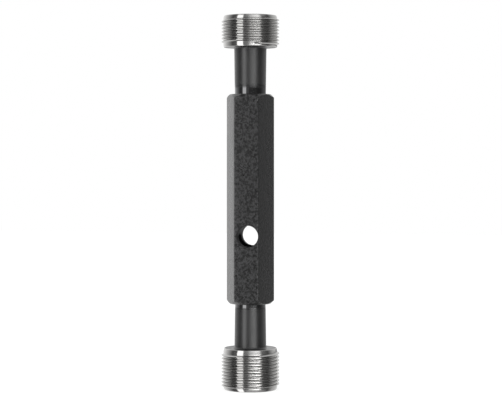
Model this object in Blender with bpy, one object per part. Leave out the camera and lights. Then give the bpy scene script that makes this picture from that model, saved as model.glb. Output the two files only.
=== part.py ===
"""Thread plug gauge, M26 x 1.5 right hand, with a GO end and a NO-GO end.

The gauge stands on its GO end. A hexagonal bar handle has a tapered socket in each
end and a drift hole through it near the GO end. Each gauging member is one turned
piece: a thread head with plain bands, a tapered neck and the shank in its socket.
"""

import math

import bmesh
import bpy
from mathutils import Matrix, Vector

# Thread of both heads
THREAD_DIAMETER = 0.026
THREAD_PITCH = 0.0015
THREAD_DEPTH = 0.0009
FLANK_ANGLE = math.radians(30.0)
CREST_SHARE = 1 / 8
NO_GO_CREST_CUT = 0.00005

# Heads
GO_HEAD_LENGTH = 0.0185
NO_GO_HEAD_LENGTH = 0.0142
THREAD_LEAD = 0.0017
GO_BACK_BAND = 0.0022
NO_GO_BACK_BAND = 0.0014
BAND_DROP = 0.0003
HEAD_CHAMFER = 0.0004
GO_THREAD_START = math.radians(171.5)
NO_GO_THREAD_END = math.radians(289.5)

# Centre holes, 60 degrees
CENTRE_MOUTH_DIAMETER = 0.005
CENTRE_PILOT_DIAMETER = 0.002
CENTRE_PILOT_LENGTH = 0.002

# Tapered necks and shanks
TAPER_RATIO = 36.0
GO_NECK_LENGTH = 0.0199
NO_GO_NECK_LENGTH = 0.021
GO_SHANK_DIAMETER = 0.0137
NO_GO_SHANK_DIAMETER = 0.0139
NECK_FILLET = 0.0005
SHANK_CHAMFER = 0.0008
SEAT_GAP = 0.0002

# Handle
HANDLE_LENGTH = 0.0937
HANDLE_FLATS = 0.019
CORNER_RADIUS = 0.0005
END_RING_INSET = 0.0003
SOCKET_END_ROOM = 0.002

# Drift hole, measured from the handle's GO end
DRIFT_HEIGHT = 0.0304
DRIFT_DIAMETER = 0.0095
DRIFT_TURN = math.radians(3.5)
DRIFT_CHAMFER = 0.00035
DRIFT_SHANK_MARGIN = 0.0011

# Fineness of the round faces
THREAD_STEPS = 48
HANDLE_STEPS = 72
FILLET_STEPS = 3

# Working values of the construction
CUT_MARGIN = 0.001
WELD = 1e-6
THREAD_CLEAR = 0.0001
BLUNT_SHARE = 0.35
DRILL_POINT = math.radians(59.0)
CENTRE_SLOPE = math.radians(30.0)
SHARP_EDGE = math.radians(30.0)
HEX_HALF_SIDE = math.radians(30.0)
QUARTER_TURN = math.radians(90.0)

# Finishes: colour, roughness and metallic
GROUND_STEEL = ((0.56, 0.56, 0.55, 1.0), 0.22, 1.0)
BLACK_OXIDE = ((0.035, 0.035, 0.037, 1.0), 0.45, 0.6)

# Heights that follow from the sizes above
HANDLE_FOOT = GO_HEAD_LENGTH + GO_NECK_LENGTH
HANDLE_TOP = HANDLE_FOOT + HANDLE_LENGTH
GAUGE_HEIGHT = HANDLE_TOP + NO_GO_NECK_LENGTH + NO_GO_HEAD_LENGTH
SHANK_GRIP = DRIFT_HEIGHT - DRIFT_DIAMETER / 2 - DRIFT_SHANK_MARGIN


def clear_scene():
    for item in list(bpy.data.objects):
        bpy.data.objects.remove(item, do_unlink=True)


def steel(name, finish):
    colour, roughness, metallic = finish
    material = bpy.data.materials.new(name)
    material.use_nodes = True
    shader = material.node_tree.nodes["Principled BSDF"]
    shader.inputs["Base Color"].default_value = colour
    shader.inputs["Roughness"].default_value = roughness
    shader.inputs["Metallic"].default_value = metallic
    return material


def add_object(name, bm, materials=()):
    """Put a finished mesh into the scene, smooth on its round faces."""
    bmesh.ops.recalc_face_normals(bm, faces=bm.faces)
    mesh = bpy.data.meshes.new(name)
    bm.to_mesh(mesh)
    bm.free()
    for material in materials:
        mesh.materials.append(material)
    mesh.shade_smooth()
    mesh.set_sharp_from_angle(angle=SHARP_EDGE)
    item = bpy.data.objects.new(name, mesh)
    bpy.context.scene.collection.objects.link(item)
    return item


def combine(item, tool, operation):
    """Cut, join or trim an object with a hidden tool object."""
    tool.parent = item
    tool.hide_render = True
    tool.display_type = 'WIRE'
    modifier = item.modifiers.new(tool.name, 'BOOLEAN')
    modifier.operation = operation
    modifier.solver = 'EXACT'
    modifier.object = tool


def turn_outline(bm, outline, steps):
    """Turn an outline of (radius, height) points about the axis."""
    points = [bm.verts.new((radius, 0.0, height)) for radius, height in outline]
    lines = [bm.edges.new(pair) for pair in zip(points, points[1:])]
    bmesh.ops.spin(
        bm, geom=points + lines, cent=(0, 0, 0), axis=(0, 0, 1),
        angle=math.tau, steps=steps, use_merge=True)


def turned(outline, steps):
    """A closed solid from an outline that starts and ends on the axis."""
    bm = bmesh.new()
    turn_outline(bm, outline, steps)
    bmesh.ops.remove_doubles(bm, verts=bm.verts, dist=WELD)
    return bm


def centre_hole(face_height, inward):
    """A 60 degree centre hole, as outline points from its tip to the end face."""
    pilot = CENTRE_PILOT_DIAMETER / 2
    mouth = CENTRE_MOUTH_DIAMETER / 2
    cone = (mouth - pilot) / math.tan(CENTRE_SLOPE)
    floor = cone + CENTRE_PILOT_LENGTH
    tip = floor + pilot / math.tan(DRILL_POINT)
    return [
        (0.0, face_height + inward * tip),
        (pilot, face_height + inward * floor),
        (pilot, face_height + inward * cone),
        (mouth, face_height)]


def thread_width(depth):
    """Axial width of the thread ridge at a depth below its full crest."""
    return THREAD_PITCH * CREST_SHARE + 2 * depth * math.tan(FLANK_ANGLE)


def front_outline():
    """Half section of a member from its gauging end's centre hole up to the thread."""
    root = THREAD_DIAMETER / 2 - THREAD_DEPTH
    band = root - BAND_DROP
    return centre_hole(0.0, 1) + [
        (band - HEAD_CHAMFER, 0.0),
        (band, HEAD_CHAMFER),
        (root, THREAD_LEAD - thread_width(THREAD_DEPTH) / 2 - THREAD_CLEAR)]


def back_outline(head_length, back_band, neck_length, shank_diameter):
    """Half section from the thread over the head's back, the neck and the shank."""
    root = THREAD_DIAMETER / 2 - THREAD_DEPTH
    band = root - BAND_DROP
    seat_height = head_length + neck_length
    end_height = seat_height + SHANK_GRIP

    def taper_radius(height):
        return shank_diameter / 2 - (height - seat_height) / (2 * TAPER_RATIO)

    head = [
        (root, head_length - back_band + thread_width(THREAD_DEPTH) / 2 + THREAD_CLEAR),
        (band, head_length - HEAD_CHAMFER),
        (band - HEAD_CHAMFER, head_length)]
    fillet = []
    for step in range(FILLET_STEPS + 1):
        turn = QUARTER_TURN * step / FILLET_STEPS
        fillet.append((
            taper_radius(head_length) + NECK_FILLET * (1 - math.sin(turn)),
            head_length + NECK_FILLET * (1 - math.cos(turn))))
    shank = [
        (taper_radius(end_height - SHANK_CHAMFER), end_height - SHANK_CHAMFER),
        (taper_radius(end_height) - SHANK_CHAMFER, end_height)]
    return head + fillet + shank + centre_hole(end_height, -1)[::-1]


def wind_thread(bm, crest_radius, front_height, back_height, length):
    """Skin of one right-hand thread with blunt ends, between two rings of the root.

    Step by step up the helix there are four points: lower root, lower crest, upper
    crest and upper root. One turn on, a point lies above the one it left.
    """
    root_radius = THREAD_DIAMETER / 2 - THREAD_DEPTH
    root_half = thread_width(THREAD_DEPTH) / 2
    crest_half = thread_width(THREAD_DIAMETER / 2 - crest_radius) / 2
    end_radius = root_radius + BLUNT_SHARE * (crest_radius - root_radius)
    steps = round(length / THREAD_PITCH * THREAD_STEPS)

    def point(radius, step, height):
        turn = Matrix.Rotation(math.tau * (step % THREAD_STEPS) / THREAD_STEPS, 3, 'Z')
        return bm.verts.new(turn @ Vector((radius, 0.0, height)))

    front_ring = [point(root_radius, step, front_height) for step in range(THREAD_STEPS)]
    back_ring = [point(root_radius, step, back_height) for step in range(THREAD_STEPS)]
    sections = []
    for step in range(steps + 1):
        crest = end_radius if step in (0, steps) else crest_radius
        height = THREAD_LEAD + THREAD_PITCH * step / THREAD_STEPS
        sections.append((
            point(root_radius, step, height - root_half),
            point(crest, step, height - crest_half),
            point(crest, step, height + crest_half),
            point(root_radius, step, height + root_half)))

    bm.faces.new(sections[0])
    bm.faces.new(sections[-1])
    for here, ahead in zip(sections, sections[1:]):
        for side in range(3):
            bm.faces.new((here[side], ahead[side], ahead[side + 1], here[side + 1]))

    for step in range(THREAD_STEPS):
        here = front_ring[step]
        ahead = front_ring[(step + 1) % THREAD_STEPS]
        under_end = [sections[0][0], sections[0][3]] if step == THREAD_STEPS - 1 else []
        bm.faces.new([here, ahead] + under_end + [sections[step + 1][0], sections[step][0]])
    for step in range(steps - THREAD_STEPS):
        above = step + THREAD_STEPS
        bm.faces.new((
            sections[step][3], sections[step + 1][3], sections[above + 1][0], sections[above][0]))
    for step in range(steps - THREAD_STEPS, steps):
        here = back_ring[step % THREAD_STEPS]
        ahead = back_ring[(step + 1) % THREAD_STEPS]
        over_end = [sections[-1][3], sections[-1][0]] if step == steps - THREAD_STEPS else []
        bm.faces.new([sections[step][3], sections[step + 1][3], ahead, here] + over_end)


def thread_plug(name, head_length, crest_radius, length, back, finishes):
    """A gauging member, gauging end down, with a bright head and a blackened neck."""
    front = front_outline()
    bm = bmesh.new()
    turn_outline(bm, front, THREAD_STEPS)
    turn_outline(bm, back, THREAD_STEPS)
    wind_thread(bm, crest_radius, front[-1][1], back[0][1], length)
    bmesh.ops.remove_doubles(bm, verts=bm.verts, dist=WELD)
    item = add_object(name, bm, finishes)
    for face in item.data.polygons:
        face.material_index = 1 if face.center.z > head_length + WELD else 0
    return item


def go_thread_plug(finishes):
    length = GO_HEAD_LENGTH - THREAD_LEAD - GO_BACK_BAND
    back = back_outline(GO_HEAD_LENGTH, GO_BACK_BAND, GO_NECK_LENGTH, GO_SHANK_DIAMETER)
    item = thread_plug(
        "go_thread_plug", GO_HEAD_LENGTH, THREAD_DIAMETER / 2, length, back, finishes)
    item.rotation_euler.z = GO_THREAD_START


def no_go_thread_plug(finishes):
    """The short member, turned over so that its gauging end is the gauge's top."""
    length = NO_GO_HEAD_LENGTH - THREAD_LEAD - NO_GO_BACK_BAND
    back = back_outline(
        NO_GO_HEAD_LENGTH, NO_GO_BACK_BAND, NO_GO_NECK_LENGTH, NO_GO_SHANK_DIAMETER)
    crest_radius = THREAD_DIAMETER / 2 - NO_GO_CREST_CUT
    item = thread_plug(
        "no_go_thread_plug", NO_GO_HEAD_LENGTH, crest_radius, length, back, finishes)
    item.location.z = GAUGE_HEIGHT
    item.rotation_euler.x = math.pi
    item.rotation_euler.z = NO_GO_THREAD_END + math.tau * length / THREAD_PITCH


def hexagon_bar(length):
    """Hexagonal bar with two flats facing -Y and +Y, longer than the finished handle."""
    bm = bmesh.new()
    corner = Vector((HANDLE_FLATS / 2 / math.cos(HEX_HALF_SIDE), 0.0, -CUT_MARGIN))
    section = bm.faces.new([
        bm.verts.new(Matrix.Rotation(2 * HEX_HALF_SIDE * side, 3, 'Z') @ corner)
        for side in range(6)])
    bmesh.ops.bevel(
        bm, geom=list(section.verts), affect='VERTICES', segments=FILLET_STEPS, profile=0.5,
        offset=CORNER_RADIUS * math.tan(HEX_HALF_SIDE), offset_type='OFFSET')
    grown = bmesh.ops.extrude_face_region(bm, geom=bm.faces[:])
    lifted = [part for part in grown["geom"] if isinstance(part, bmesh.types.BMVert)]
    bmesh.ops.translate(bm, verts=lifted, vec=(0.0, 0.0, length + 2 * CUT_MARGIN))
    return bm


def end_turning():
    """The turned blank that trims the bar to length and chamfers both its ends."""
    ring = HANDLE_FLATS / 2 - END_RING_INSET
    outside = HANDLE_FLATS / 2 / math.cos(HEX_HALF_SIDE) + CUT_MARGIN
    cone = outside - ring
    outline = [
        (ring, 0.0),
        (outside, cone),
        (outside, HANDLE_LENGTH - cone),
        (ring, HANDLE_LENGTH)]
    bm = turned(outline, HANDLE_STEPS)
    bmesh.ops.holes_fill(bm, edges=bm.edges, sides=HANDLE_STEPS)
    return add_object("handle_end_turning", bm)


def socket_cutter(name, shank_diameter, depth):
    """Tapered socket with a drill point, opening downwards at zero."""
    def radius(height):
        return shank_diameter / 2 - height / (2 * TAPER_RATIO) + SEAT_GAP

    outline = [
        (0.0, -CUT_MARGIN),
        (radius(-CUT_MARGIN), -CUT_MARGIN),
        (radius(depth), depth),
        (0.0, depth + radius(depth) / math.tan(DRILL_POINT))]
    return add_object(name, turned(outline, THREAD_STEPS))


def drift_bore():
    """The drift hole itself, through the handle's axis and turned off the flats."""
    reach = HANDLE_FLATS / 2 + CUT_MARGIN
    radius = DRIFT_DIAMETER / 2
    outline = [(0.0, -reach), (radius, -reach), (radius, reach), (0.0, reach)]
    item = add_object("drift_bore", turned(outline, THREAD_STEPS))
    item.location.z = DRIFT_HEIGHT
    item.rotation_euler = (QUARTER_TURN, 0.0, DRIFT_TURN)
    return item


def drift_mouth(name, side):
    """Countersink that breaks the drift hole's edge on the -Y or +Y flat."""
    rim = DRIFT_DIAMETER / 2 + DRIFT_CHAMFER
    outline = [
        (0.0, -rim),
        (rim + CUT_MARGIN, CUT_MARGIN),
        (0.0, CUT_MARGIN)]
    item = add_object(name, turned(outline, THREAD_STEPS))
    flat = HANDLE_FLATS / 2
    item.location = (-side * flat * math.tan(DRIFT_TURN), side * flat, DRIFT_HEIGHT)
    item.rotation_euler.x = -side * QUARTER_TURN
    return item


def handle(finish):
    item = add_object("handle", hexagon_bar(HANDLE_LENGTH), [finish])
    combine(item, end_turning(), 'INTERSECT')
    combine(item, socket_cutter("go_socket", GO_SHANK_DIAMETER, DRIFT_HEIGHT), 'DIFFERENCE')
    upper = socket_cutter("no_go_socket", NO_GO_SHANK_DIAMETER, SHANK_GRIP + SOCKET_END_ROOM)
    upper.location.z = HANDLE_LENGTH
    upper.rotation_euler.x = math.pi
    combine(item, upper, 'DIFFERENCE')
    combine(item, drift_bore(), 'DIFFERENCE')
    combine(item, drift_mouth("drift_front_mouth", -1), 'DIFFERENCE')
    combine(item, drift_mouth("drift_rear_mouth", 1), 'DIFFERENCE')
    item.location.z = HANDLE_FOOT


def main():
    clear_scene()
    ground = steel("ground_steel", GROUND_STEEL)
    black = steel("black_oxide", BLACK_OXIDE)
    handle(black)
    go_thread_plug([ground, black])
    no_go_thread_plug([ground, black])


main()
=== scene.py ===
"""Looks of a double-ended thread plug gauge, M26 x 1.5, that stands on its GO end.

Each of its three pieces is made again with finer edges than the working model has:
the hexagonal handle, and the two gauging members with their heads, necks and shanks.
"""

import math

import bmesh
import bpy
from bpy.props import FloatProperty, FloatVectorProperty, PointerProperty
from mathutils import Matrix, Vector


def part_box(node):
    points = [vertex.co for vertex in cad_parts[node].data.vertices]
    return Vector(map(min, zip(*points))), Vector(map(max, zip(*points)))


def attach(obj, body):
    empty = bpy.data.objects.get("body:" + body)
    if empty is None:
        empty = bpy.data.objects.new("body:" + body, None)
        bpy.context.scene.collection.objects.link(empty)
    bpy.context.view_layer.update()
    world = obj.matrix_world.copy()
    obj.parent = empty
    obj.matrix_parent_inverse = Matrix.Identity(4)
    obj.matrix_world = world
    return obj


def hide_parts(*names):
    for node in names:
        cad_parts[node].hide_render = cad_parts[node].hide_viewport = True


bl_info = {
    "name": "Thread plug gauge",
    "version": (1, 0, 0),
    "blender": (4, 5, 0),
    "location": "3D View > Sidebar > Gauge",
    "description": "Builds a GO and NO-GO thread plug gauge and the studio it stands in",
    "category": "Object",
}

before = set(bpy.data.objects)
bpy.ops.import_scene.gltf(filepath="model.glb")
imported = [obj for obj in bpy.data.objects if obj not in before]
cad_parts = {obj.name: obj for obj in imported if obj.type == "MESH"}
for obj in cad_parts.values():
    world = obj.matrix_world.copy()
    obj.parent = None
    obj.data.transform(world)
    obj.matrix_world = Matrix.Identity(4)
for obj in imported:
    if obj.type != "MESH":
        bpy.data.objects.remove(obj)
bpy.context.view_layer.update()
HANDLE_LOW, HANDLE_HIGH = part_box("handle")
GO_LOW, GO_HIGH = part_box("go_thread_plug")
NO_GO_LOW, NO_GO_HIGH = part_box("no_go_thread_plug")

WHITE = (1.0, 1.0, 1.0)
BLACK = (0.0, 0.0, 0.0)

# Fineness of the meshes
THREAD_STEPS = 240
SOCKET_STEPS = 192
DRIFT_STEPS = 128
FLAT_STEPS = 10
ROLL_STEPS = 5
CORNER_STEPS = 3
FILLET_STEPS = 8
EASE_STEPS = 3

HEX_HALF_SIDE = math.radians(30.0)
QUARTER_TURN = math.radians(90.0)
SHARP_EDGE = math.radians(30.0)
DRILL_POINT = math.radians(59.0)
CENTRE_SLOPE = math.radians(30.0)

# How far the cutters stand proud of the handle
CUT_MARGIN = 0.001

# Tolerances where the bright finish ends, at the back of a head and at its rim
END_MARGIN = 0.000001
RIM_MARGIN = 0.00001

# Largest share of an edge that its rounding takes
EASE_LIMIT = 0.4

# Where the root begins beside the first and last ridge, in half widths of a ridge
ROOT_ROOM = 1.1

# Inner ring of the handle's end faces, as a share of the outer one
INNER_RING = 0.5

# Size of the grain along X, Y and Z, and depth of the relief that it gives
STEEL_LINES = (0.02, 0.02, 0.00008)
STEEL_PATCHES = (0.004, 0.004, 0.0012)
STEEL_RELIEF = 0.0000008
NECK_LINES = (0.02, 0.02, 0.00015)
NECK_PATCHES = (0.003, 0.003, 0.004)
NECK_RELIEF = 0.000003
BAR_COARSE = (0.0009, 0.0009, 0.001)
BAR_FINE = (0.0004, 0.0004, 0.0005)
BAR_PATCHES = (0.006, 0.006, 0.012)
BAR_RELIEF = 0.0016

# Where the painted shade on a thread's flanks ends: below the crest, as a share of the depth, and
# over the root
GROOVE_SHADE_SHARE = 0.3
GROOVE_SHADE_FOOT = (0.00001, 0.0001)

# Where the ground seats fade into the black, in seat lengths off the handle
SEAT_FADE = (1.5, 0.7)

# Scale and painted sheen on the handle, a lighter tone that is partly scale and partly painted
# sheen: how far in from the drilled flats it begins and is full, and how much of it lies on the
# other flats and on these
SCALE_AND_SHEEN_RIM = (0.0003, 0.00015)
SCALE_AND_SHEEN_SHARE = (0.15, 1.0)

# Flecks in the scale and painted sheen: the levels of noise that are dark and light, and the
# lightest fleck's brightness against the handle's colour
FLECK_EDGES = (0.35, 0.65)
LIGHTEST_FLECK = 4.0

# Camera: width of its film in millimetres, the photograph's width and the view's offsets in
# pixels, and the nearest distance that it sees
FILM_WIDTH = 36.0
PHOTO_WIDTH = 502
SHIFT_RIGHT = 0.65
SHIFT_UP = -44.0
NEAREST = 0.01

# Floor: glow and paint that the camera sees, which together make white, and paint for all else
FLOOR_GLOW = 0.85
FLOOR_PAINT_SEEN = (0.25, 0.25, 0.25)
FLOOR_PAINT = (0.8, 0.8, 0.8)

# Key softbox: turns from the camera, and heights over the floor, that it spans
KEY_LAMP_TURNS = (math.radians(-58.5), math.radians(-31.5))
KEY_LAMP_HEIGHTS = (-0.25, 0.6)

# Studio in the metal, by the turn in degrees to the camera's right or by the sine of the height.
# A rise gives its two ends and the brightness at each, and a band gives where it starts, is
# full, fades and ends.
GAP_FOOT = (-0.1, -0.06)
GAP_TOP = (0.045, 0.06)
SHADE_TURNS = (-18.0, -6.0, 60.0, 95.0)
SHADE_DEPTH = 0.6
ROOM_RISE = (0.0, 1.0, 0.06, 0.25)
LEFT_WALL_RISE = (-140.0, -82.0, 0.92, 0.0)
RIGHT_WALL_NEAR_RISE = (82.0, 112.0, 0.0, 0.5)
RIGHT_WALL_FAR_RISE = (112.0, 170.0, 0.0, 0.4)
RIGHT_WALL_GAP_DEPTH = 0.65
KEY_TURNS = (-60.0, -57.0, -33.0, -30.0)
KEY_HEIGHTS = (-0.85, -0.75, 0.5, 0.65)
FILL_FIRST_RISE = (-12.0, 2.0, 0.0, 1.0)
FILL_SECOND_RISE = (2.0, 24.0, 0.0, 1.0)
FILL_END = (35.0, 53.0)
LOW_FILL_RISE = (-0.2, -0.15, 0.23, 1.0)
LOW_FILL_FOOT = (-0.45, -0.33)
HIGH_FILL_RISE = (0.1, 0.15, 0.38, 0.08)
HIGH_FILL_HEIGHTS = (0.28, 0.34, 0.42, 0.5)
HIGH_FILL_GAIN = 0.15
FAR_TURNS = (-30.0, -12.0, 60.0, 85.0)
FAR_FOOT = (-0.6, -0.25)
FAR_TOP = (0.25, 0.6)


def length(name, description, default):
    """A size in metres."""
    return FloatProperty(
        name=name, description=description, default=default, min=0.0,
        unit='LENGTH', subtype='DISTANCE', precision=5)


def angle(name, description, degrees):
    """An angle, whose default is given in degrees."""
    return FloatProperty(
        name=name, description=description, default=math.radians(degrees), subtype='ANGLE')


def share(name, description, default):
    """A number from 0 to 1."""
    return FloatProperty(
        name=name, description=description, default=default, min=0.0, max=1.0, subtype='FACTOR')


def brightness(name, description, default):
    """The strength of a light, where 1 is white."""
    return FloatProperty(name=name, description=description, default=default, min=0.0)


def colour(name, description, default):
    """A colour without its alpha."""
    return FloatVectorProperty(
        name=name, description=description, default=default, size=3, min=0.0, max=1.0,
        subtype='COLOR')


class GaugeThreadSizes(bpy.types.PropertyGroup):
    """Sizes that both threaded heads share"""

    diameter: length("Diameter", "Diameter over the thread crests", GO_HIGH.x - GO_LOW.x)
    pitch: length("Pitch", "Distance from one crest to the next", 0.0015)
    depth: length("Depth", "Height of the thread ridge over its root", 0.0009)
    flank: angle("Flank angle", "Angle of each flank to a plane across the axis", 30.0)
    crest: length("Crest", "Width of the flat along the crest", 0.00019)
    crest_ease: length("Crest edge", "Rounding of the crest's edges", 0.00007)
    lead: length("Lead", "Height of the first ridge over the gauging end", 0.0017)
    blunt_turn: angle("Blunt start", "Turn in which a ridge rises from the root", 12.0)
    front_drop: length("Front drop", "How far the gauging end narrows below the root", 0.00027)
    chamfer: length("Chamfer", "Chamfer at both ends of a head", 0.00015)
    edge_ease: length("Edge ease", "Rounding of the turned edges", 0.00012)


class GaugeGoSizes(bpy.types.PropertyGroup):
    """Sizes of the GO member, which is the long one at the foot"""

    head: length("Head length", "Length of the threaded head", 0.0185)
    back_band: length("Back band", "Plain band between the thread and the neck", 0.0022)
    back_drop: length("Back drop", "How far that band narrows below the root", 0.00033)
    neck: length("Neck length", "Neck from the head to the handle", 0.0199)
    seat: length("Ground seat", "Length of the ground taper that shows at the handle", 0.0018)
    shank: length("Shank diameter", "Diameter of the taper at the handle's end", 0.0137)
    crest_cut: length("Crest cut", "How far the crest is ground below the full form", 0.0)
    turn: angle("Thread start", "Where the thread starts, round the axis from +X", 171.5)


class GaugeNoGoSizes(bpy.types.PropertyGroup):
    """Sizes of the NO-GO member, which is the short one at the top"""

    head: length("Head length", "Length of the threaded head", 0.0142)
    back_band: length("Back band", "Plain band between the thread and the neck", 0.0014)
    back_drop: length("Back drop", "How far that band narrows below the root", 0.00015)
    neck: length("Neck length", "Neck from the head to the handle", 0.021)
    seat: length("Ground seat", "Length of the ground taper that shows at the handle", 0.0033)
    shank: length("Shank diameter", "Diameter of the taper at the handle's end", 0.0139)
    crest_cut: length("Crest cut", "How far the crest is ground below the full form", 0.00005)
    turn: angle("Thread end", "Where the thread ends next to the neck, from +X", 289.5)


class GaugeShankSizes(bpy.types.PropertyGroup):
    """Sizes that both necks and shanks share"""

    taper: FloatProperty(
        name="Taper", description="Length in which the taper narrows by one", default=36.0,
        min=1.0)
    fillet: length("Fillet", "Fillet between the neck and the head", 0.0009)
    chamfer: length("Chamfer", "Chamfer at the inner end of the shank", 0.0008)
    centre_mouth: length("Centre mouth", "Diameter of a centre hole's mouth", 0.005)
    centre_pilot: length("Centre pilot", "Diameter of a centre hole's pilot", 0.002)
    pilot_depth: length("Pilot depth", "Straight length of a centre hole's pilot", 0.002)
    drift_margin: length("Drift margin", "Gap between the GO shank and the drift hole", 0.0011)
    seat_gap: length("Seat gap", "Air between a shank and its socket", 0.00002)


class GaugeHandleSizes(bpy.types.PropertyGroup):
    """Sizes of the hexagonal handle"""

    flats: length(
        "Across flats", "Width of the hexagon over two flats", HANDLE_HIGH.y - HANDLE_LOW.y)
    crown_turn: angle("Crown turn", "How far a flat turns from its middle to its side", 1.2)
    roll_radius: length("Edge roll radius", "Large radius where a flat bends to a corner", 0.002)
    roll_turn: angle("Edge roll turn", "Turn of that radius", 15.0)
    corner_radius: length("Corner radius", "Radius at the corner itself", 0.00025)
    ring_inset: length("End ring inset", "End face ring inside the flats", 0.0003)
    edge_ease: length("Edge ease", "Rounding of the turned end edges", 0.00012)
    socket_room: length("Socket room", "Depth of the upper socket beyond its shank", 0.002)
    drift_height: length("Drift hole height", "Drift hole axis above the handle's foot", 0.0304)
    drift_diameter: length("Drift hole diameter", "Diameter of the drift hole", 0.0095)
    drift_turn: angle("Drift hole turn", "Turn of the drift hole off the flats", 3.5)
    drift_chamfer: length("Drift hole chamfer", "Chamfer round each drift hole mouth", 0.00035)


class GaugeFinishes(bpy.types.PropertyGroup):
    """Colours and roughness of the metals"""

    steel: colour("Ground steel", "Colour of the bright heads", (0.6, 0.595, 0.585))
    # Painted shade: this darker steel colour darkens the thread's flanks in place of the shade
    # that falls between the ridges.
    groove_shade_colour: colour("Groove steel", "Colour down in the thread", (0.46, 0.456, 0.448))
    steel_roughness: share("Steel roughness", "Roughness of the bright heads", 0.15)
    black: colour("Black oxide", "Colour of the blackened necks", (0.018, 0.018, 0.0185))
    black_roughness: share("Neck roughness", "Roughness of the turned necks", 0.36)
    seat_black: colour("Ground seat", "Colour of the ground taper", (0.2, 0.2, 0.203))
    seat_roughness: share("Seat roughness", "Roughness of the ground taper", 0.05)
    bar_black: colour("Handle black", "Colour of the handle", (0.0145, 0.0145, 0.0149))
    bar_roughness: share("Handle roughness", "Roughness of the handle", 0.3)


class GaugeStageSizes(bpy.types.PropertyGroup):
    """Camera, lights and floor"""

    camera_turn: angle("Camera turn", "Camera direction round the gauge from -Y", 11.5)
    camera_distance: length("Camera distance", "Camera to the gauge's axis", 0.754)
    camera_height: length("Camera height", "Height of the camera over the floor", 0.104)
    lens: FloatProperty(
        name="Lens", description="Focal length", default=120.6, unit='CAMERA', subtype='NONE')
    key_distance: length("Key distance", "Key light to the gauge's axis", 0.7)
    lamp_radiance: brightness(
        "Lamp brightness", "Brightness of the key softbox as a lamp", 1.6)
    key_radiance: brightness(
        "Key brightness", "Brightness of the key softbox in the metal", 1.6)
    fill_radiance: brightness(
        "Fill brightness", "Brightness of the fill light in the metal", 2.8)
    far_radiance: brightness(
        "Ceiling brightness", "Brightness high above and far below", 0.25)
    ambient: share("Ambient", "Plain light from all round", 0.85)
    floor_size: length("Floor size", "Width of the floor", 3.0)


class Value:
    """A socket of a node tree, so that shader maths reads as a Python expression."""

    def __init__(self, sheet, socket):
        self.sheet = sheet
        self.socket = socket

    def __add__(self, other):
        return self.sheet.maths('ADD', self, other)

    __radd__ = __add__

    def __sub__(self, other):
        return self.sheet.maths('SUBTRACT', self, other)

    def __rsub__(self, other):
        return self.sheet.maths('SUBTRACT', other, self)

    def __mul__(self, other):
        return self.sheet.maths('MULTIPLY', self, other)

    __rmul__ = __mul__


class Sheet:
    """The node tree of one finish, with short ways to add to it."""

    def __init__(self, owner):
        owner.use_nodes = True
        self.tree = owner.node_tree
        self.tree.nodes.clear()

    def node(self, kind, output, settings=None, sockets=None):
        """Add a node, set it up, link or set its sockets, and return one output."""
        made = self.tree.nodes.new(kind)
        for name, value in (settings or {}).items():
            setattr(made, name, value)
        for name, value in (sockets or {}).items():
            if isinstance(value, Value):
                self.tree.links.new(value.socket, made.inputs[name])
            else:
                made.inputs[name].default_value = value
        return Value(self, made.outputs[output]) if output is not None else None

    def maths(self, operation, *values):
        """One step of arithmetic on numbers."""
        return self.node(
            'ShaderNodeMath', 0, {"operation": operation}, dict(enumerate(values)))

    def rise(self, value, low, high, start, end):
        """A straight rise from start to end while the value goes from low to high."""
        return self.node(
            'ShaderNodeMapRange', 0, None, {0: value, 1: low, 2: high, 3: start, 4: end})

    def ramp(self, value, low, high):
        """A smooth step from 0 to 1 while the value goes from low to high."""
        return self.node(
            'ShaderNodeMapRange', 0, {"interpolation_type": 'SMOOTHSTEP'},
            {0: value, 1: low, 2: high})

    def band(self, value, start, full, fade, end):
        """1 in a band of values and 0 outside it, with smooth sides."""
        return self.ramp(value, start, full) * (1 - self.ramp(value, fade, end))

    def mix(self, factor, first, second):
        """Blend two colours."""
        return self.node(
            'ShaderNodeMix', 2, {"data_type": 'RGBA'}, {0: factor, 6: first, 7: second})

    def along(self, vector, direction):
        """How far a vector reaches along a direction."""
        return self.node(
            'ShaderNodeVectorMath', "Value", {"operation": 'DOT_PRODUCT'},
            {0: vector, 1: direction})

    def place(self):
        """Place on the piece, in metres."""
        return self.node('ShaderNodeTexCoord', "Object")

    def radius(self):
        """Distance from the gauge's axis."""
        flat = self.node(
            'ShaderNodeVectorMath', 0, {"operation": 'MULTIPLY'},
            {0: self.place(), 1: (1.0, 1.0, 0.0)})
        return self.node('ShaderNodeVectorMath', "Value", {"operation": 'LENGTH'}, {0: flat})

    def height(self):
        """Height over the foot of the gauge."""
        return self.node('ShaderNodeSeparateXYZ', "Z", None, {0: self.place()})

    def noise(self, grain, detail=2.0):
        """Soft noise, with the size of its grains along X, Y and Z in metres."""
        scaled = self.node(
            'ShaderNodeVectorMath', 0, {"operation": 'MULTIPLY'},
            {0: self.place(), 1: [1.0 / size for size in grain]})
        return self.node(
            'ShaderNodeTexNoise', 0, None, {"Vector": scaled, "Scale": 1.0, "Detail": detail})

    def bump(self, height, distance):
        """Relief of a depth in metres."""
        return self.node(
            'ShaderNodeBump', 0, None, {"Height": height, "Distance": distance, "Strength": 1.0})

    def surface(self, shader):
        """Use a shader for the surface of a material."""
        self.node('ShaderNodeOutputMaterial', None, None, {"Surface": shader})


def rgba(value):
    """A colour with full alpha."""
    return (*value, 1.0)


def shaded(value, factor):
    """A colour made lighter or darker."""
    return rgba([min(part * factor, 1.0) for part in value])


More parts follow.
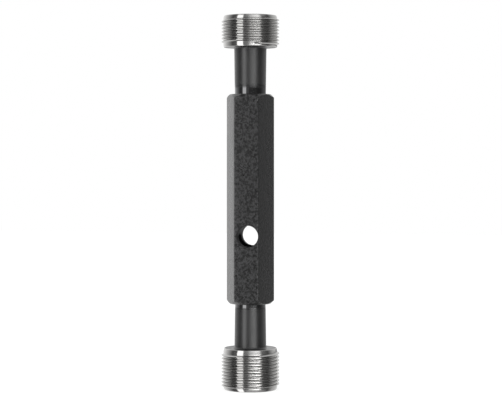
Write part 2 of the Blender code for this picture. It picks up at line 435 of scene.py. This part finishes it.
def ground_steel(finishes, thread):
    """Bright ground steel, brushed round the axis, with painted shade that darkens the thread's
    flanks.
    """
    material = bpy.data.materials.new("ground_steel")
    sheet = Sheet(material)
    lines = sheet.noise(STEEL_LINES, 3.0)
    patches = sheet.noise(STEEL_PATCHES, 3.0)
    crest = thread.diameter / 2
    root = crest - thread.depth
    radius = sheet.radius()
    # Painted shade: the flanks, from just over the root to below the crest, are darkened towards
    # the darker steel colour.
    painted_groove_shade = (1 - sheet.ramp(radius, crest - GROOVE_SHADE_SHARE * thread.depth, crest)) \
        * sheet.ramp(radius, root + GROOVE_SHADE_FOOT[0], root + GROOVE_SHADE_FOOT[1])
    tone = sheet.mix(patches, shaded(finishes.steel, 0.95), shaded(finishes.steel, 1.05))
    tone = sheet.mix(painted_groove_shade, tone, rgba(finishes.groove_shade_colour))
    roughness = finishes.steel_roughness + 0.06 * (patches - 0.5) + 0.06 * (lines - 0.5)
    sheet.surface(sheet.node('ShaderNodeBsdfPrincipled', 0, None, {
        "Base Color": tone,
        "Metallic": 1.0,
        "Roughness": roughness,
        "Anisotropic": 0.9,
        "Anisotropic Rotation": 0.25,
        "Normal": sheet.bump(lines, STEEL_RELIEF),
    }))
    return material


def neck_black(finishes, seats):
    """Blackened turned steel, which turns to smooth dark metal on the ground seats."""
    material = bpy.data.materials.new("neck_black_oxide")
    sheet = Sheet(material)
    lines = sheet.noise(NECK_LINES, 3.0)
    patches = sheet.noise(NECK_PATCHES, 4.0)
    height = sheet.height()
    lower, upper = seats
    seat = sheet.ramp(height, *lower) * sheet.ramp(height, *upper)
    tone = sheet.mix(patches, shaded(finishes.black, 0.8), shaded(finishes.black, 1.2))
    tone = sheet.mix(seat * seat * seat, tone, rgba(finishes.seat_black))
    wear = finishes.black_roughness + 0.12 * (patches - 0.5) + 0.2 * (lines - 0.5)
    roughness = wear + (finishes.seat_roughness - wear) * seat
    sheet.surface(sheet.node('ShaderNodeBsdfPrincipled', 0, None, {
        "Base Color": tone,
        "Metallic": seat,
        "Roughness": roughness,
        "IOR": 1.8,
        "Anisotropic": 0.4,
        "Anisotropic Rotation": 0.25,
        "Normal": sheet.bump((lines + patches) * (1 - seat), NECK_RELIEF),
    }))
    return material


def bar_black(finishes, handle):
    """Black oxide over a drawn bar, whose two drilled flats are scaled, flecked and lightened,
    partly as painted sheen.
    """
    material = bpy.data.materials.new("handle_black_oxide")
    sheet = Sheet(material)
    coarse = sheet.noise(BAR_COARSE, 3.0)
    fine = sheet.noise(BAR_FINE, 2.0)
    patches = sheet.noise(BAR_PATCHES, 3.0)
    off_middle = sheet.maths('ABSOLUTE', sheet.along(sheet.place(), (0.0, 1.0, 0.0)))
    flat = handle.flats / 2
    # Partly painted sheen: the drilled flats, the front one facing the camera, take a lighter
    # flecked tone than the other flats, partly as scale.
    scale_and_sheen = sheet.rise(off_middle, flat - SCALE_AND_SHEEN_RIM[0], flat - SCALE_AND_SHEEN_RIM[1], *SCALE_AND_SHEEN_SHARE)
    flecks = (sheet.ramp(coarse + 0.6 * (fine - 0.5), *FLECK_EDGES) - 0.5) * scale_and_sheen
    lightness = 0.2 + 0.3 * scale_and_sheen + 0.9 * flecks
    tone = sheet.mix(lightness, rgba(BLACK), shaded(finishes.bar_black, LIGHTEST_FLECK))
    roughness = finishes.bar_roughness + 0.15 * (patches - 0.5) + 0.1 * (fine - 0.5)
    sheet.surface(sheet.node('ShaderNodeBsdfPrincipled', 0, None, {
        "Base Color": tone,
        "Roughness": roughness,
        "IOR": 1.5,
        "Coat Weight": 0.8 + 0.3 * flecks,
        "Coat Roughness": 0.25,
        "Coat IOR": 1.5,
        "Normal": sheet.bump((coarse + 0.5 * fine) * scale_and_sheen, BAR_RELIEF),
    }))
    return material


def bore_black(finishes):
    """Dull black inside the drift hole and the sockets."""
    material = bpy.data.materials.new("bore_black_oxide")
    sheet = Sheet(material)
    sheet.surface(sheet.node('ShaderNodeBsdfPrincipled', 0, None, {
        "Base Color": rgba(finishes.bar_black),
        "Roughness": 0.6,
        "Specular IOR Level": 0.1,
    }))
    return material


def eased(outline, radius):
    """An outline whose corners are rounded to a small radius."""
    result = [outline[0]]
    for before, corner, after in zip(outline, outline[1:], outline[2:]):
        back = before - corner
        ahead = after - corner
        turn = math.pi - back.angle(ahead)
        room = EASE_LIMIT * min(back.length, ahead.length)
        reach = min(radius * math.tan(turn / 2), room)
        first = corner + back.normalized() * reach
        last = corner + ahead.normalized() * reach
        for step in range(EASE_STEPS + 1):
            part = step / EASE_STEPS
            result.append(
                (1 - part) ** 2 * first + 2 * part * (1 - part) * corner + part ** 2 * last)
    return result + [outline[-1]]


def turn_outline(bm, outline, steps):
    """Turn an outline of (radius, height) points about the axis, and return its rings."""
    rings = []
    for radius, height in outline:
        if radius == 0.0:
            rings.append([bm.verts.new((0.0, 0.0, height))])
            continue
        rings.append([
            bm.verts.new(Matrix.Rotation(math.tau * step / steps, 3, 'Z')
                         @ Vector((radius, 0.0, height)))
            for step in range(steps)])
    for low, high in zip(rings, rings[1:]):
        for step in range(steps):
            ahead = (step + 1) % steps
            corners = [
                low[step % len(low)], low[ahead % len(low)],
                high[ahead % len(high)], high[step % len(high)]]
            bm.faces.new(dict.fromkeys(corners))
    return rings


def centre_hole(shank, face_height, inward):
    """A 60 degree centre hole, as outline points from its tip to the end face."""
    pilot = shank.centre_pilot / 2
    mouth = shank.centre_mouth / 2
    cone = (mouth - pilot) / math.tan(CENTRE_SLOPE)
    floor = cone + shank.pilot_depth
    tip = floor + pilot / math.tan(DRILL_POINT)
    return [
        Vector((0.0, face_height + inward * tip)),
        Vector((pilot, face_height + inward * floor)),
        Vector((pilot, face_height + inward * cone)),
        Vector((mouth, face_height))]


def ridge_half_width(thread, depth):
    """Half the axial width of the thread ridge at a depth below its full crest."""
    return thread.crest / 2 + depth * math.tan(thread.flank)


def front_outline(thread, shank):
    """Half section of a member from its gauging end's centre hole up to the thread."""
    root = thread.diameter / 2 - thread.depth
    band = root - thread.front_drop
    turned = [
        Vector((shank.centre_mouth / 2, 0.0)),
        Vector((band - thread.chamfer, 0.0)),
        Vector((band, thread.chamfer)),
        Vector((root, thread.lead - ROOT_ROOM * ridge_half_width(thread, thread.depth)))]
    return centre_hole(shank, 0.0, 1)[:-1] + eased(turned, thread.edge_ease)


def taper_radius(shank, diameter, depth):
    """Radius of a taper at a depth into the handle, from its diameter at the handle's end."""
    return diameter / 2 - depth / (2 * shank.taper)


def back_outline(thread, shank, member, grip):
    """Half section from the thread over the head's back, the neck and the shank."""
    root = thread.diameter / 2 - thread.depth
    band = root - member.back_drop
    neck_radius = taper_radius(shank, member.shank, -member.neck)
    end_radius = taper_radius(shank, member.shank, grip)
    chamfer_radius = taper_radius(shank, member.shank, grip - shank.chamfer)
    end_height = member.head + member.neck + grip
    ridge = ridge_half_width(thread, thread.depth)
    head = [
        Vector((root, member.head - member.back_band + ROOT_ROOM * ridge)),
        Vector((band, member.head - thread.chamfer)),
        Vector((band - thread.chamfer, member.head))]
    fillet = []
    for step in range(FILLET_STEPS + 1):
        turn = QUARTER_TURN * step / FILLET_STEPS
        fillet.append(Vector((
            neck_radius + shank.fillet * (1 - math.sin(turn)),
            member.head + shank.fillet * (1 - math.cos(turn)))))
    end = [
        Vector((chamfer_radius, end_height - shank.chamfer)),
        Vector((end_radius - shank.chamfer, end_height)),
        Vector((shank.centre_mouth / 2, end_height))]
    head = eased(head + fillet[:1], thread.edge_ease)
    return head + fillet[1:] + eased(end, thread.edge_ease) \
        + centre_hole(shank, end_height, -1)[-2::-1]


def ridge_section(thread, member, rise):
    """Ridge points of (radius, offset along the axis) from lower root to upper root."""
    root = thread.diameter / 2 - thread.depth
    crest = root + (thread.depth - member.crest_cut) * rise
    lower_root = Vector((root, -ridge_half_width(thread, thread.depth)))
    lower_crest = Vector((crest, -ridge_half_width(thread, member.crest_cut)))
    upper_crest = Vector((crest, ridge_half_width(thread, member.crest_cut)))
    upper_root = Vector((root, ridge_half_width(thread, thread.depth)))
    return eased([lower_root, lower_crest, upper_crest, upper_root], thread.crest_ease)


def thread_turns(thread, member):
    """Number of turns that a member's thread makes."""
    return (member.head - thread.lead - member.back_band) / thread.pitch


def wind_thread(bm, thread, member, front_ring, back_ring):
    """Skin of one right-hand thread with blunt ends, between two rings of the root."""
    steps = round(thread_turns(thread, member) * THREAD_STEPS)
    blunt = thread.blunt_turn / math.tau * THREAD_STEPS
    sections = []
    for step in range(steps + 1):
        rise = min(1.0, (min(step, steps - step) + 1) / blunt)
        turn = Matrix.Rotation(math.tau * (step % THREAD_STEPS) / THREAD_STEPS, 3, 'Z')
        height = thread.lead + thread.pitch * step / THREAD_STEPS
        sections.append([
            bm.verts.new(turn @ Vector((radius, 0.0, height + offset)))
            for radius, offset in ridge_section(thread, member, rise)])

    bm.faces.new(sections[0])
    bm.faces.new(sections[-1])
    for here, ahead in zip(sections, sections[1:]):
        for side in range(len(here) - 1):
            bm.faces.new((here[side], ahead[side], ahead[side + 1], here[side + 1]))

    last_turn = steps - THREAD_STEPS
    for step in range(THREAD_STEPS):
        corners = [front_ring[step], front_ring[(step + 1) % THREAD_STEPS]]
        if step == THREAD_STEPS - 1:
            corners += [sections[0][0], sections[0][-1]]
        bm.faces.new(corners + [sections[step + 1][0], sections[step][0]])
    for step in range(last_turn):
        above = step + THREAD_STEPS
        bm.faces.new((
            sections[step][-1], sections[step + 1][-1], sections[above + 1][0],
            sections[above][0]))
    for step in range(last_turn, steps):
        corners = [
            sections[step][-1], sections[step + 1][-1],
            back_ring[(step + 1) % THREAD_STEPS], back_ring[step % THREAD_STEPS]]
        if step == last_turn:
            corners += [sections[-1][-1], sections[-1][0]]
        bm.faces.new(corners)


def finished(name, bm):
    """Put a mesh into the scene as a piece, smooth on its round faces."""
    bmesh.ops.recalc_face_normals(bm, faces=bm.faces)
    mesh = bpy.data.meshes.new(name)
    bm.to_mesh(mesh)
    bm.free()
    mesh.shade_smooth()
    mesh.set_sharp_from_angle(angle=SHARP_EDGE)
    item = bpy.data.objects.new(name, mesh)
    bpy.context.scene.collection.objects.link(item)
    return item


def even_shading(item):
    """Keep the shading of flat faces flat up to their eased edges."""
    modifier = item.modifiers.new("even_shading", 'WEIGHTED_NORMAL')
    modifier.keep_sharp = True
    modifier.weight = 100


def shank_grip(shank, handle):
    """Length of a shank inside its socket, up to just below the drift hole."""
    return handle.drift_height - handle.drift_diameter / 2 - shank.drift_margin


def thread_plug(name, member, place, finishes):
    """A gauging member, made gauging end down and then set in its place."""
    scene = bpy.context.scene
    thread = scene.gauge_thread
    shank = scene.gauge_shank
    grip = shank_grip(shank, scene.gauge_handle)
    bm = bmesh.new()
    front = turn_outline(bm, front_outline(thread, shank), THREAD_STEPS)
    back = turn_outline(bm, back_outline(thread, shank, member, grip), THREAD_STEPS)
    wind_thread(bm, thread, member, front[-1], back[0])
    item = finished(name, bm)
    for finish in finishes:
        item.data.materials.append(finish)
    bright_radius = thread.diameter / 2 - thread.depth - member.back_drop - thread.chamfer
    for face in item.data.polygons:
        on_head = face.center.z < member.head - END_MARGIN
        at_rim = face.center.xy.length > bright_radius - RIM_MARGIN
        face.material_index = 0 if on_head or at_rim else 1
    item.data.transform(place)
    even_shading(item)
    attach(item, "root")
    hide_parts(name.replace("_finish", ""))


class GAUGE_OT_thread_plugs(bpy.types.Operator):
    """Make the GO and the NO-GO member, each a threaded head, a neck and a shank"""

    bl_idname = "gauge.thread_plugs"
    bl_label = "Thread plugs"

    def execute(self, context):
        scene = context.scene
        seats = (
            [HANDLE_LOW.z - part * scene.gauge_go.seat for part in SEAT_FADE],
            [HANDLE_HIGH.z + part * scene.gauge_no_go.seat for part in SEAT_FADE])
        finishes = [
            ground_steel(scene.gauge_finishes, scene.gauge_thread),
            neck_black(scene.gauge_finishes, seats)]
        go = scene.gauge_go
        go_place = Matrix.Rotation(go.turn, 4, 'Z')
        thread_plug("go_thread_plug_finish", go, go_place, finishes)

        no_go = scene.gauge_no_go
        turn = no_go.turn + math.tau * thread_turns(scene.gauge_thread, no_go)
        no_go_place = (
            Matrix.Translation((0.0, 0.0, NO_GO_HIGH.z))
            @ Matrix.Rotation(turn, 4, 'Z') @ Matrix.Rotation(math.pi, 4, 'X'))
        thread_plug("no_go_thread_plug_finish", no_go, no_go_place, finishes)
        return {'FINISHED'}


def bend(radius, first, last, steps):
    """Steps along and inward while a side bends at a radius from one turn to another."""
    turns = [first + (last - first) * step / steps for step in range(steps + 1)]
    return [
        Vector((radius * (math.cos(ahead) - math.cos(turn)),
                radius * (math.sin(ahead) - math.sin(turn))))
        for turn, ahead in zip(turns, turns[1:])]


def hexagon_points(handle):
    """The handle's outline in plan, right round: crowned flats with rolled corners."""
    corner = bend(handle.roll_radius, handle.crown_turn, handle.roll_turn, ROLL_STEPS)
    corner += bend(handle.corner_radius, handle.roll_turn, HEX_HALF_SIDE, CORNER_STEPS)
    reach = sum(corner, Vector((0.0, 0.0)))
    slope = math.tan(HEX_HALF_SIDE)
    half_flat = ((handle.flats / 2 + reach.x) * slope - reach.y) \
        / (1 + math.tan(handle.crown_turn / 2) * slope)
    crown = bend(
        half_flat / math.sin(handle.crown_turn), 0.0, handle.crown_turn, FLAT_STEPS)
    half_side = [Vector((handle.flats / 2, 0.0))]
    for step in crown + corner:
        half_side.append(half_side[-1] + step)
    side = [Vector((point.x, -point.y)) for point in half_side[:0:-1]] + half_side[:-1]
    points = []
    for number in range(6):
        turn = Matrix.Rotation(2 * HEX_HALF_SIDE * number + HEX_HALF_SIDE, 2)
        points += [turn @ point for point in side]
    return points


def hexagon_bar(handle, total):
    """The handle's solid without its holes, with the turned chamfers at both ends."""
    ring = handle.flats / 2 - handle.ring_inset
    bm = bmesh.new()
    columns = []
    for point in hexagon_points(handle):
        reach = point.length
        cone = reach - ring
        outline = eased([
            Vector((INNER_RING * ring, 0.0)),
            Vector((ring, 0.0)),
            Vector((reach, cone)),
            Vector((reach, total - cone)),
            Vector((ring, total)),
            Vector((INNER_RING * ring, total))], handle.edge_ease)
        direction = point.normalized()
        columns.append([
            bm.verts.new((direction.x * radius, direction.y * radius, height))
            for radius, height in outline])
    for here, ahead in zip(columns, columns[1:] + columns[:1]):
        for level in range(len(here) - 1):
            bm.faces.new((here[level], ahead[level], ahead[level + 1], here[level + 1]))
    bm.faces.new([column[0] for column in columns])
    bm.faces.new([column[-1] for column in columns])
    return bm


def cutter(name, outline, steps, place):
    """A turned tool that cuts a hole and is then taken away."""
    bm = bmesh.new()
    turn_outline(bm, [Vector(point) for point in outline], steps)
    item = finished(name, bm)
    item.data.transform(place)
    return item


def cut(item, tools):
    """Cut holes with the tools, and keep the result as the item's own mesh."""
    for tool in tools:
        modifier = item.modifiers.new(tool.name, 'BOOLEAN')
        modifier.operation = 'DIFFERENCE'
        modifier.solver = 'EXACT'
        modifier.object = tool
    evaluated = item.evaluated_get(bpy.context.evaluated_depsgraph_get())
    item.data = bpy.data.meshes.new_from_object(evaluated)
    item.modifiers.clear()
    for tool in tools:
        bpy.data.objects.remove(tool, do_unlink=True)
    item.data.shade_smooth()
    item.data.set_sharp_from_angle(angle=SHARP_EDGE)


def socket_tool(name, shank, diameter, depth, place):
    """Cutter for a tapered socket with a drill point."""
    mouth = taper_radius(shank, diameter, -CUT_MARGIN) + shank.seat_gap
    floor = taper_radius(shank, diameter, depth) + shank.seat_gap
    outline = [
        (0.0, -CUT_MARGIN),
        (mouth, -CUT_MARGIN),
        (floor, depth),
        (0.0, depth + floor / math.tan(DRILL_POINT))]
    return cutter(name, outline, SOCKET_STEPS, place)


def drift_tools(handle):
    """Cutters for the drift hole and for the chamfers round its two mouths."""
    flat = handle.flats / 2
    reach = flat + CUT_MARGIN
    radius = handle.drift_diameter / 2
    rim = radius + handle.drift_chamfer
    middle = Matrix.Translation((0.0, 0.0, handle.drift_height))
    along = Matrix.Rotation(handle.drift_turn, 4, 'Z') @ Matrix.Rotation(QUARTER_TURN, 4, 'X')
    tools = [cutter(
        "drift_hole", [(0.0, -reach), (radius, -reach), (radius, reach), (0.0, reach)],
        DRIFT_STEPS, middle @ along)]
    for name, side in (("front_mouth", -1), ("rear_mouth", 1)):
        offset = Matrix.Translation((-side * flat * math.tan(handle.drift_turn), side * flat, 0.0))
        facing = Matrix.Rotation(-side * QUARTER_TURN, 4, 'X')
        outline = [(0.0, -rim), (rim + CUT_MARGIN, CUT_MARGIN), (0.0, CUT_MARGIN)]
        tools.append(cutter(name, outline, DRIFT_STEPS, middle @ offset @ facing))
    return tools


class GAUGE_OT_handle(bpy.types.Operator):
    """Make the hexagonal handle with its sockets and its drift hole"""

    bl_idname = "gauge.handle"
    bl_label = "Handle"

    def execute(self, context):
        scene = context.scene
        handle = scene.gauge_handle
        shank = scene.gauge_shank
        total = HANDLE_HIGH.z - HANDLE_LOW.z
        item = finished("handle_finish", hexagon_bar(handle, total))
        turned_over = Matrix.Translation((0.0, 0.0, total)) @ Matrix.Rotation(math.pi, 4, 'X')
        upper_depth = shank_grip(shank, handle) + handle.socket_room
        tools = [
            socket_tool(
                "go_socket", shank, scene.gauge_go.shank, handle.drift_height, Matrix()),
            socket_tool(
                "no_go_socket", shank, scene.gauge_no_go.shank, upper_depth, turned_over)]
        cut(item, tools + drift_tools(handle))
        item.data.transform(Matrix.Translation((0.0, 0.0, HANDLE_LOW.z)))
        item.data.materials.clear()
        item.data.materials.append(bar_black(scene.gauge_finishes, handle))
        item.data.materials.append(bore_black(scene.gauge_finishes))
        for face in item.data.polygons:
            inside = face.center.xy.length < handle.flats / 2 - 2 * handle.drift_chamfer
            between_ends = abs(face.center.z - HANDLE_LOW.z - total / 2) < total / 2 - CUT_MARGIN
            face.material_index = 1 if inside and between_ends else 0
        even_shading(item)
        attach(item, "root")
        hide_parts("handle")
        return {'FINISHED'}


def camera_direction(stage, turn=0.0):
    """Level direction from the gauge towards the camera, turned to the camera's right."""
    heading = stage.camera_turn + turn
    return Vector((math.sin(heading), -math.cos(heading), 0.0))


def add_camera(stage):
    """The camera at the photograph's angle, which is level and looks at the gauge's axis."""
    data = bpy.data.cameras.new("camera")
    data.lens = stage.lens
    data.sensor_width = FILM_WIDTH
    data.shift_x = SHIFT_RIGHT / PHOTO_WIDTH
    data.shift_y = SHIFT_UP / PHOTO_WIDTH
    data.clip_start = NEAREST
    camera = bpy.data.objects.new("camera", data)
    camera.location = camera_direction(stage) * stage.camera_distance
    camera.location.z = stage.camera_height
    camera.rotation_euler = (QUARTER_TURN, 0.0, stage.camera_turn)
    bpy.context.scene.collection.objects.link(camera)
    bpy.context.scene.camera = camera


def add_key_lamp(stage):
    """The key softbox, a rectangular lamp that spans two turns and two heights."""
    left, right = KEY_LAMP_TURNS
    low, high = KEY_LAMP_HEIGHTS
    data = bpy.data.lights.new("key_softbox", 'AREA')
    data.shape = 'RECTANGLE'
    data.size = 2 * stage.key_distance * math.tan((right - left) / 2)
    data.size_y = high - low
    data.energy = stage.lamp_radiance * math.pi * data.size * data.size_y
    light = bpy.data.objects.new("key_softbox", data)
    middle = (left + right) / 2
    light.location = camera_direction(stage, middle) * stage.key_distance
    light.location.z = (low + high) / 2
    light.rotation_euler = (QUARTER_TURN, 0.0, stage.camera_turn + middle)
    light.visible_camera = False
    light.visible_glossy = False
    bpy.context.scene.collection.objects.link(light)


def add_floor(stage):
    """A white floor that shows the gauge's soft shadow and isn't mirrored in its metal."""
    half = stage.floor_size / 2
    bm = bmesh.new()
    bm.faces.new([
        bm.verts.new(corner) for corner in (
            (-half, -half, 0.0), (half, -half, 0.0), (half, half, 0.0), (-half, half, 0.0))])
    floor = finished("floor", bm)
    material = bpy.data.materials.new("floor_white")
    sheet = Sheet(material)
    seen = sheet.node('ShaderNodeLightPath', "Is Camera Ray")
    glow = sheet.node('ShaderNodeEmission', 0, None, {"Strength": FLOOR_GLOW * seen})
    paint = sheet.mix(seen, rgba(FLOOR_PAINT), rgba(FLOOR_PAINT_SEEN))
    matt = sheet.node('ShaderNodeBsdfDiffuse', 0, None, {"Color": paint})
    sheet.surface(sheet.node('ShaderNodeAddShader', 0, None, {0: glow, 1: matt}))
    floor.data.materials.append(material)
    floor.visible_glossy = False
    floor.visible_shadow = False


def studio(sheet, stage):
    """Brightness that the metal mirrors from each direction of the studio."""
    direction = sheet.node('ShaderNodeTexCoord', "Generated")
    front = sheet.along(direction, camera_direction(stage))
    right = sheet.along(direction, camera_direction(stage, QUARTER_TURN))
    up = sheet.along(direction, (0.0, 0.0, 1.0))
    turn = sheet.maths('DEGREES', sheet.maths('ARCTAN2', right, front))

    low = 1 - sheet.ramp(up, *GAP_FOOT)
    high = sheet.ramp(up, *GAP_TOP)
    gap = 1 - low - high
    shade = sheet.band(turn, *SHADE_TURNS) * gap
    room = sheet.rise(front, *ROOM_RISE) * (1 - SHADE_DEPTH * shade)
    left_wall = sheet.rise(turn, *LEFT_WALL_RISE)
    right_wall = sheet.rise(turn, *RIGHT_WALL_NEAR_RISE) + sheet.rise(turn, *RIGHT_WALL_FAR_RISE)
    right_wall = right_wall * (1 - RIGHT_WALL_GAP_DEPTH * gap)
    key = sheet.band(turn, *KEY_TURNS) * sheet.band(up, *KEY_HEIGHTS)
    below = sheet.rise(up, *LOW_FILL_RISE) * sheet.ramp(up, *LOW_FILL_FOOT)
    above = sheet.rise(up, *HIGH_FILL_RISE) + HIGH_FILL_GAIN * sheet.band(up, *HIGH_FILL_HEIGHTS)
    fill = sheet.rise(turn, *FILL_FIRST_RISE) + sheet.rise(turn, *FILL_SECOND_RISE)
    fill = fill * (1 - sheet.ramp(turn, *FILL_END)) * (low * below + high * above)
    far = sheet.band(turn, *FAR_TURNS) \
        * (1 - sheet.ramp(up, *FAR_FOOT) + sheet.ramp(up, *FAR_TOP))
    return room + left_wall + right_wall + stage.key_radiance * key \
        + stage.fill_radiance * fill + stage.far_radiance * far


def add_world(stage):
    """White to the camera, a studio to the metal, and plain light to all else."""
    world = bpy.data.worlds.new("studio")
    world.cycles.sampling_method = 'NONE'
    bpy.context.scene.world = world
    sheet = Sheet(world)
    seen = sheet.node('ShaderNodeLightPath', "Is Camera Ray") \
        + sheet.node('ShaderNodeLightPath', "Is Transmission Ray")
    mirrored = sheet.node('ShaderNodeLightPath', "Is Glossy Ray")
    plain = (1 - seen) * (1 - mirrored)
    strength = seen + mirrored * studio(sheet, stage) + plain * stage.ambient
    shader = sheet.node(
        'ShaderNodeBackground', 0, None, {"Color": rgba(WHITE), "Strength": strength})
    sheet.node('ShaderNodeOutputWorld', None, None, {"Surface": shader})


class GAUGE_OT_stage(bpy.types.Operator):
    """Set the white floor, the studio lights and the camera round the gauge"""

    bl_idname = "gauge.stage"
    bl_label = "Stage"

    def execute(self, context):
        stage = context.scene.gauge_stage
        add_camera(stage)
        add_floor(stage)
        add_world(stage)
        add_key_lamp(stage)
        context.scene.view_settings.view_transform = 'Standard'
        return {'FINISHED'}


OPERATORS = (GAUGE_OT_handle, GAUGE_OT_thread_plugs, GAUGE_OT_stage)


class GAUGE_PT_panel(bpy.types.Panel):
    """Builds the gauge piece by piece"""

    bl_idname = "GAUGE_PT_panel"
    bl_label = "Thread plug gauge"
    bl_space_type = 'VIEW_3D'
    bl_region_type = 'UI'
    bl_category = "Gauge"

    def draw(self, context):
        for operator in OPERATORS:
            self.layout.operator(operator.bl_idname)


GROUPS = {
    "gauge_thread": GaugeThreadSizes,
    "gauge_go": GaugeGoSizes,
    "gauge_no_go": GaugeNoGoSizes,
    "gauge_shank": GaugeShankSizes,
    "gauge_handle": GaugeHandleSizes,
    "gauge_finishes": GaugeFinishes,
    "gauge_stage": GaugeStageSizes,
}
CLASSES = OPERATORS + (GAUGE_PT_panel,)


def register():
    """Add the settings, the operators and the panel."""
    for name, group in GROUPS.items():
        bpy.utils.register_class(group)
        setattr(bpy.types.Scene, name, PointerProperty(type=group))
    for item in CLASSES:
        bpy.utils.register_class(item)


def unregister():
    """Take them away again."""
    for item in reversed(CLASSES):
        bpy.utils.unregister_class(item)
    for name, group in reversed(GROUPS.items()):
        delattr(bpy.types.Scene, name)
        bpy.utils.unregister_class(group)


def main():
    """Build the whole gauge and its studio."""
    register()
    bpy.ops.gauge.handle()
    bpy.ops.gauge.thread_plugs()
    bpy.ops.gauge.stage()


if __name__ == "__main__":
    main()
